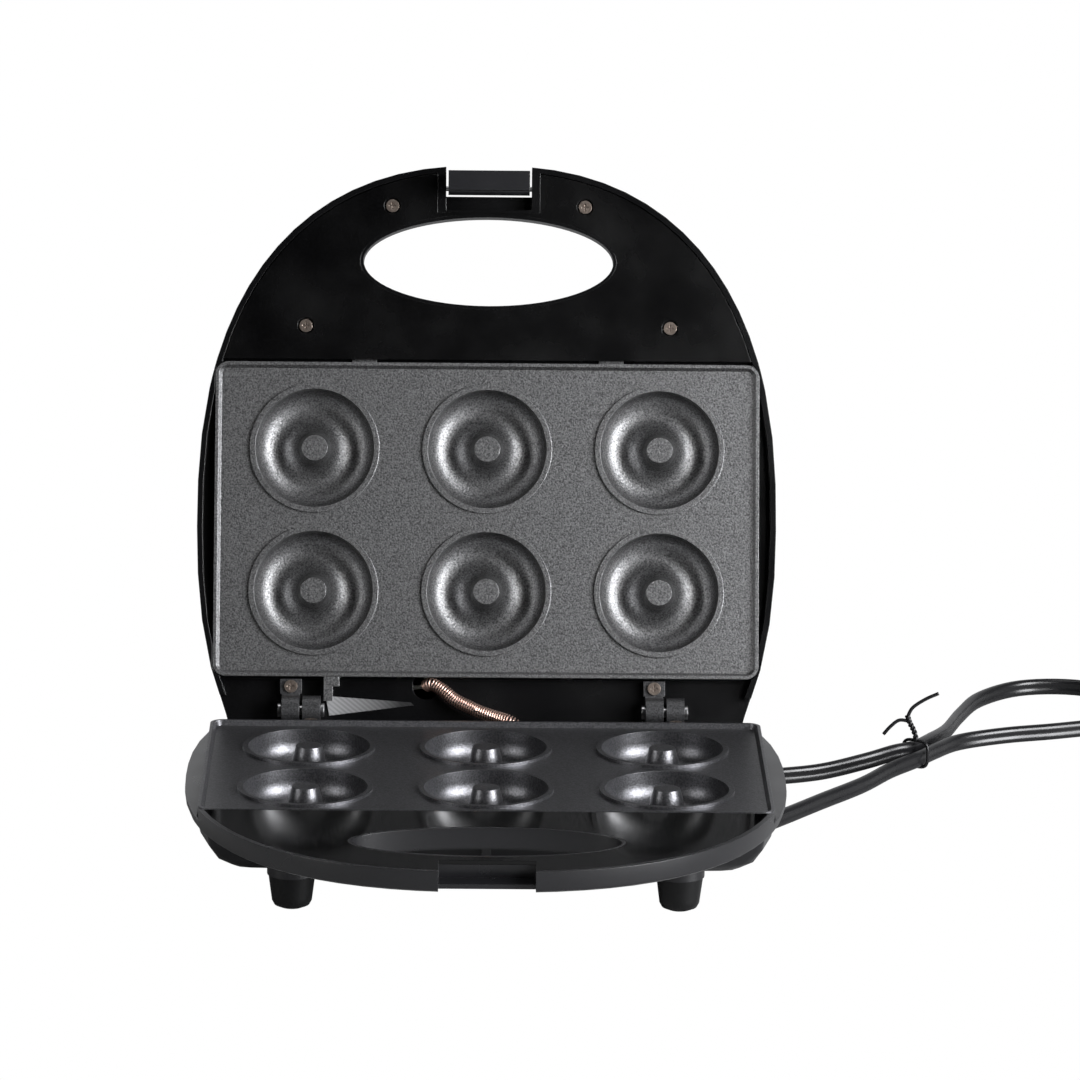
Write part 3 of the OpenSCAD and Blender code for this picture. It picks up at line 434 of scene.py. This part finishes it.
# strain relief: a flange and a ribbed taper
lo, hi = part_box("strain_relief")
reach = (hi[1] - lo[1]) / MM
start_y = lo[1] / MM
barrel_r, flange_r, neck_r = 4.2, 6.1, 4.3
profile = [
    (0, barrel_r - 0.1), (0.02, barrel_r), (12.1, barrel_r),
    (12.2, flange_r - 0.2), (12.5, flange_r), (13.9, flange_r), (14.2, flange_r - 0.2),
    (14.3, neck_r),
]
taper_from = 14.4
ribs = 5
rib_fall, rib_deep = 0.16, 0.5
step = (reach - taper_from) / ribs
for i in range(ribs):
    y0 = taper_from + step * i
    r0 = neck_r - rib_fall * i
    profile += [
        (y0 + 0.1 * step, r0),
        (y0 + 0.6 * step, r0 - 0.05),
        (y0 + 0.68 * step, r0 - rib_deep),
        (y0 + 0.95 * step, r0 - rib_deep),
    ]
profile += [(reach - 0.3, 3.5), (reach, 3.1)]
relief_at = (cord_route[0][0], start_y, cord_route[0][2])
relief = add_mesh("strain_relief_ribbed", *lathe(profile, relief_at, (0, 1, 0)), M["pvc"])
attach(relief, "base")
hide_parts("strain_relief")

# twist tie: a band, a twisted stem and two loose ends
tie_at = np.array([178.4, 129.8, 0.0])
tie_turn = math.radians(58)
out = np.array([-math.sin(tie_turn), math.cos(tie_turn), 0])
angles = np.linspace(0, 2 * math.pi, 49)
squareness = 0.55
band_half_w, band_half_h, band_mid_z = 5.8, 5.6, 6.5


def squared(value):
    """A sine or cosine pushed outwards, which squares the band's corners."""
    return np.sign(value) * abs(value) ** squareness


band = [
    tie_at
    + out * band_half_w * squared(math.cos(a))
    + np.array([0, 0, band_mid_z + band_half_h * squared(math.sin(a))])
    for a in angles
]
band = np.array(band) * MM
tie_side = np.array([math.cos(tie_turn), math.sin(tie_turn), 0])
band_r, strand_r, strand_off, end_r = 0.7, 0.6, 0.62, 0.75
half_twists = 7
parts = [tube(band, ring(band_r * MM, 8), tie_side)]
stem_route = np.array([(0.3, 0, 12.0), (-0.8, 0.2, 16), (-2.6, 0.2, 19.5), (-3.6, 0, 22.4)])
stem = spline([tie_at + p for p in stem_route], 10)
turn = np.linspace(0, half_twists * math.pi, len(stem))
side, up = frames(stem, np.array([0, 1.0, 0]))
for phase in (0, math.pi):
    around = side * np.cos(turn + phase)[:, None] + up * np.sin(turn + phase)[:, None]
    strand = stem + strand_off * MM * around
    parts.append(tube(strand, ring(strand_r * MM, 8), (0, 1, 0)))
for ends in (
    [(-3.6, 0, 22.0), (-1.6, 0, 26), (3.5, 0.4, 29.5), (9, 0, 32.2)],
    [(-3.0, 0.2, 20.2), (-7, 0.5, 20.5), (-10.5, 0, 18), (-13.4, 0, 14.6)],
):
    end_path = spline([tie_at + p for p in np.array(ends)], 8)
    parts.append(tube(end_path, ring(end_r * MM, 8), (0, 1, 0)))
tie = add_mesh("tie_twisted", *joined(parts), M["pvc"])
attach(tie, "base")
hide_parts("twist_tie")

for name, width in (("plug_body", 1.1), ("plug_pins", 0.4)):
    soften = nodes[name].modifiers.new("rounded", "BEVEL")
    soften.width = width * MM
    soften.segments = 3
    soften.limit_method = "ANGLE"
    nodes[name].modifiers.move(len(nodes[name].modifiers) - 1, 1)

# ---------- spring conduit across the hinge ----------
row_shift = np.array([0, -5.125, 39.0])
h = 77.4  # the hinge line's y in the plate frame
conduit_route = [
    (-24, h + 9.3, 7.9), (-21.5, h + 7, 9.2), (-17, h + 4.6, 7.2), (-12.6, h + 2.6, 4.1),
    (-7, h + 0.5, 1.8), (-2.5, h - 1.4, 0.2), (3.6, h - 3.9, -1.2), (9.6, h - 6.6, -2.4),
    (12.6, h - 7.4, -4.6), (13, h - 7.4, -6.8),
]
line = spline([np.array(p) + row_shift for p in conduit_route], 40)
walked = np.concatenate([[0], np.cumsum(np.linalg.norm(np.diff(line, axis=0), axis=1))])
pitch = 1.05 * MM
turns = walked[-1] / pitch
turn_steps = 14
steps = int(turns * turn_steps)
at = np.linspace(0, walked[-1], steps)
line = np.stack([np.interp(at, walked, line[:, i]) for i in range(3)], 1)
side, up = frames(line, np.array([0, 0, 1.0]))
spin = 2 * math.pi * at / pitch
coil_r, wire_r, sleeve_r = 2.42 * MM, 0.36 * MM, 2.1 * MM
coil = line + coil_r * (side * np.cos(spin)[:, None] + up * np.sin(spin)[:, None])
coil_tube = tube(coil, ring(wire_r, 7), (0.31, 0.2, 0.93))
spring = add_mesh("conduit_spring", *coil_tube, M["copper"])
core_tube = add_mesh("conduit_core", *tube(line[::6], ring(sleeve_r, 14)), M["sleeve"])
for obj in (spring, core_tube):
    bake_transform(obj)
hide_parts("wire_conduit")

# ---------- light and surroundings ----------


def area(name, at, size, power, colour=(1, 1, 1), to=(0, 0, 0.13)):
    data = bpy.data.lights.new(name, "AREA")
    data.shape = "RECTANGLE"
    data.size, data.size_y = size
    data.energy = power
    data.color = colour
    obj = bpy.data.objects.new(name, data)
    obj.location = at
    obj.rotation_euler = (Vector(to) - Vector(at)).to_track_quat("-Z", "Y").to_euler()
    bpy.context.scene.collection.objects.link(obj)
    return obj


area("light_right", (1.5, -0.9, 0.6), (0.9, 1.5), 112, (0.97, 0.98, 1.0))
area("light_left", (-1.5, -0.8, 0.55), (0.6, 1.4), 15)
area("light_front", (0.66, -1.0, 0.62), (0.25, 0.5), 4.2)
area("light_top", (0.1, 0.1, 1.7), (1.0, 0.4), 4)


def seen_white(tree, shader):
    """A mix that shows the shader to every ray but the camera's; white goes in slot 2."""
    add, link = tree.nodes.new, tree.links.new
    mix = add("ShaderNodeMixShader")
    link(add("ShaderNodeLightPath").outputs["Is Camera Ray"], mix.inputs["Fac"])
    link(shader, mix.inputs[1])
    return mix


world = bpy.data.worlds.new("studio")
bpy.context.scene.world = world
world.use_nodes = True
wt = world.node_tree
dim = wt.nodes["Background"]
dim.inputs["Color"].default_value = (0.97, 0.98, 1, 1)
# The backdrop behind the object is bright, the room in front of it dark
parted = wt.nodes.new("ShaderNodeSeparateXYZ")
wt.links.new(wt.nodes.new("ShaderNodeTexCoord").outputs["Generated"], parted.inputs[0])
behind = wt.nodes.new("ShaderNodeMapRange")
behind.inputs["From Min"].default_value = 0.4
behind.inputs["From Max"].default_value = 0.8
behind.inputs["To Min"].default_value = 0.002
behind.inputs["To Max"].default_value = 0.7
wt.links.new(parted.outputs["Y"], behind.inputs["Value"])
wt.links.new(behind.outputs["Result"], dim.inputs["Strength"])
white = wt.nodes.new("ShaderNodeBackground")
white.inputs["Strength"].default_value = 1.0
white.inputs["Color"].default_value = (1, 1, 1, 1)
mix = seen_white(wt, dim.outputs[0])
wt.links.new(white.outputs[0], mix.inputs[2])
wt.links.new(mix.outputs[0], wt.nodes["World Output"].inputs["Surface"])

floor_mat = bpy.data.materials.new("floor_white")
floor_mat.use_nodes = True
ft = floor_mat.node_tree
diffuse = ft.nodes["Principled BSDF"]
diffuse.inputs["Base Color"].default_value = (0.3, 0.3, 0.3, 1)
diffuse.inputs["Roughness"].default_value = 0.7
glow = ft.nodes.new("ShaderNodeEmission")
glow.inputs["Strength"].default_value = 1.0
mix = seen_white(ft, diffuse.outputs[0])
ft.links.new(glow.outputs[0], mix.inputs[2])
ft.links.new(mix.outputs[0], ft.nodes["Material Output"].inputs["Surface"])
floor_corners = [(-4, -4, 0), (4, -4, 0), (4, 8, 0), (-4, 8, 0)]
floor = add_mesh("floor", floor_corners, [(0, 1, 2, 3)], floor_mat)

scene = bpy.context.scene
scene.view_settings.view_transform = "Standard"
scene.view_settings.look = "None"
scene.view_settings.exposure = 0
scene.view_settings.gamma = 1
